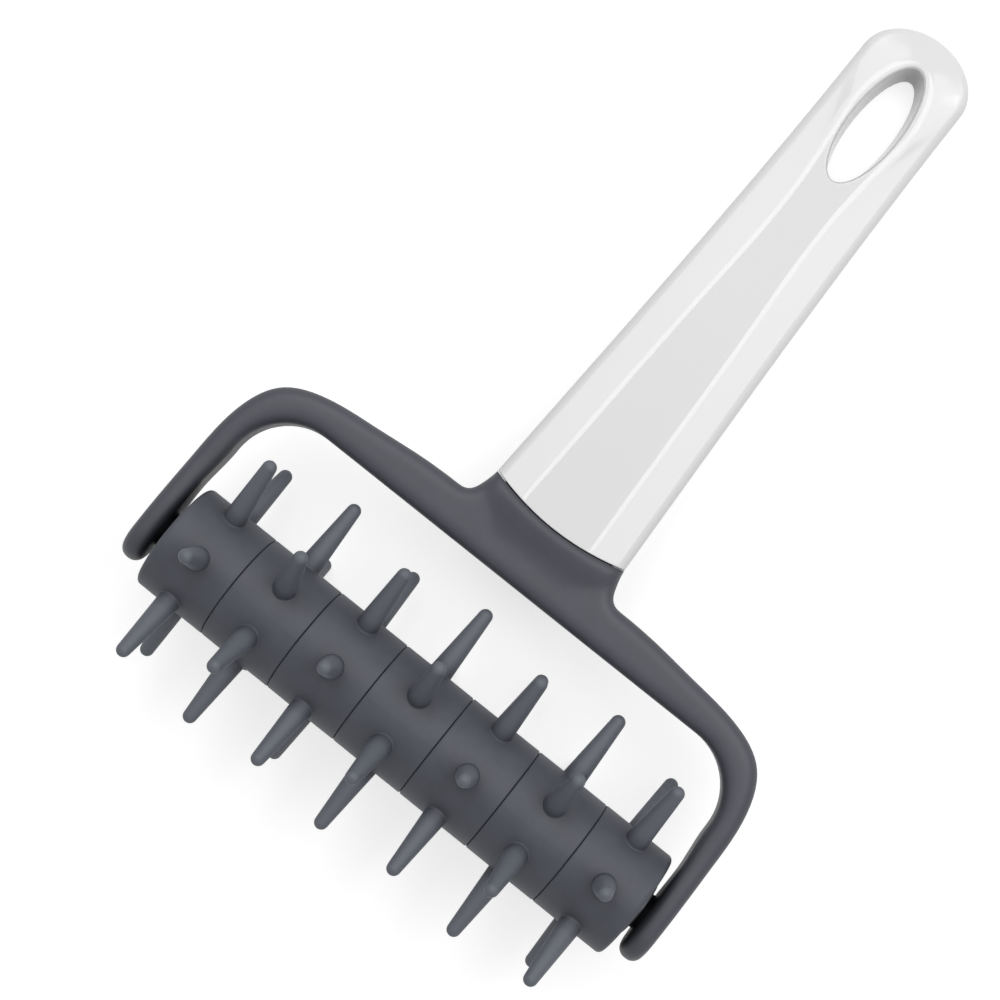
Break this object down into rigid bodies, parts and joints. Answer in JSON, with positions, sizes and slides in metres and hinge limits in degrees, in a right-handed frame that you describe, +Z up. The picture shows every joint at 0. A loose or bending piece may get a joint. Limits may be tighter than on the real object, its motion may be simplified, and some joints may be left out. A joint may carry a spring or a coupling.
{
  "type": "dough docker",
  "caption": "Hand roller with rings of blunt tapered pins turning in a one-piece yoke, with a tapered moulded grip and an oval hang hole, for pricking rolled dough.",
  "frame": {"origin": "centre of the footprint, on the table that the tool lies on with its pins and the end of its grip", "axes": "+X along the roller's axis to the right, +Y along the table from the roller to the end of the grip, +Z up"},
  "size_m": [0.1328, 0.2004, 0.0552],
  "materials": {
    "grip_white": "white glossy moulded plastic",
    "yoke_grey": "blue-grey satin moulded plastic",
    "roller_grey": "blue-grey satin moulded plastic, fine mould lines",
    "core_plastic": "dark grey moulded plastic",
    "bush_plastic": "dark grey slippery bearing plastic",
    "axle_steel": "drawn stainless steel rod"
  },
  "bodies": {
    "frame": {"yoke": "yoke_grey", "handle": "grip_white", "axle": "axle_steel"},
    "roller": {"pin_ring_1": "roller_grey", "pin_ring_2": "roller_grey", "pin_ring_3": "roller_grey", "pin_ring_4": "roller_grey", "pin_ring_5": "roller_grey", "pin_ring_6": "roller_grey", "pin_ring_7": "roller_grey", "roller_core": "core_plastic", "left_bush": "bush_plastic", "right_bush": "bush_plastic"}
  },
  "joints": [
    {"name": "roller_spin", "type": "hinge", "parent": "frame", "child": "roller", "pos_m": [0, -0.07265, 0.02759], "axis": [1, 0, 0], "continuous": true}
  ]
}
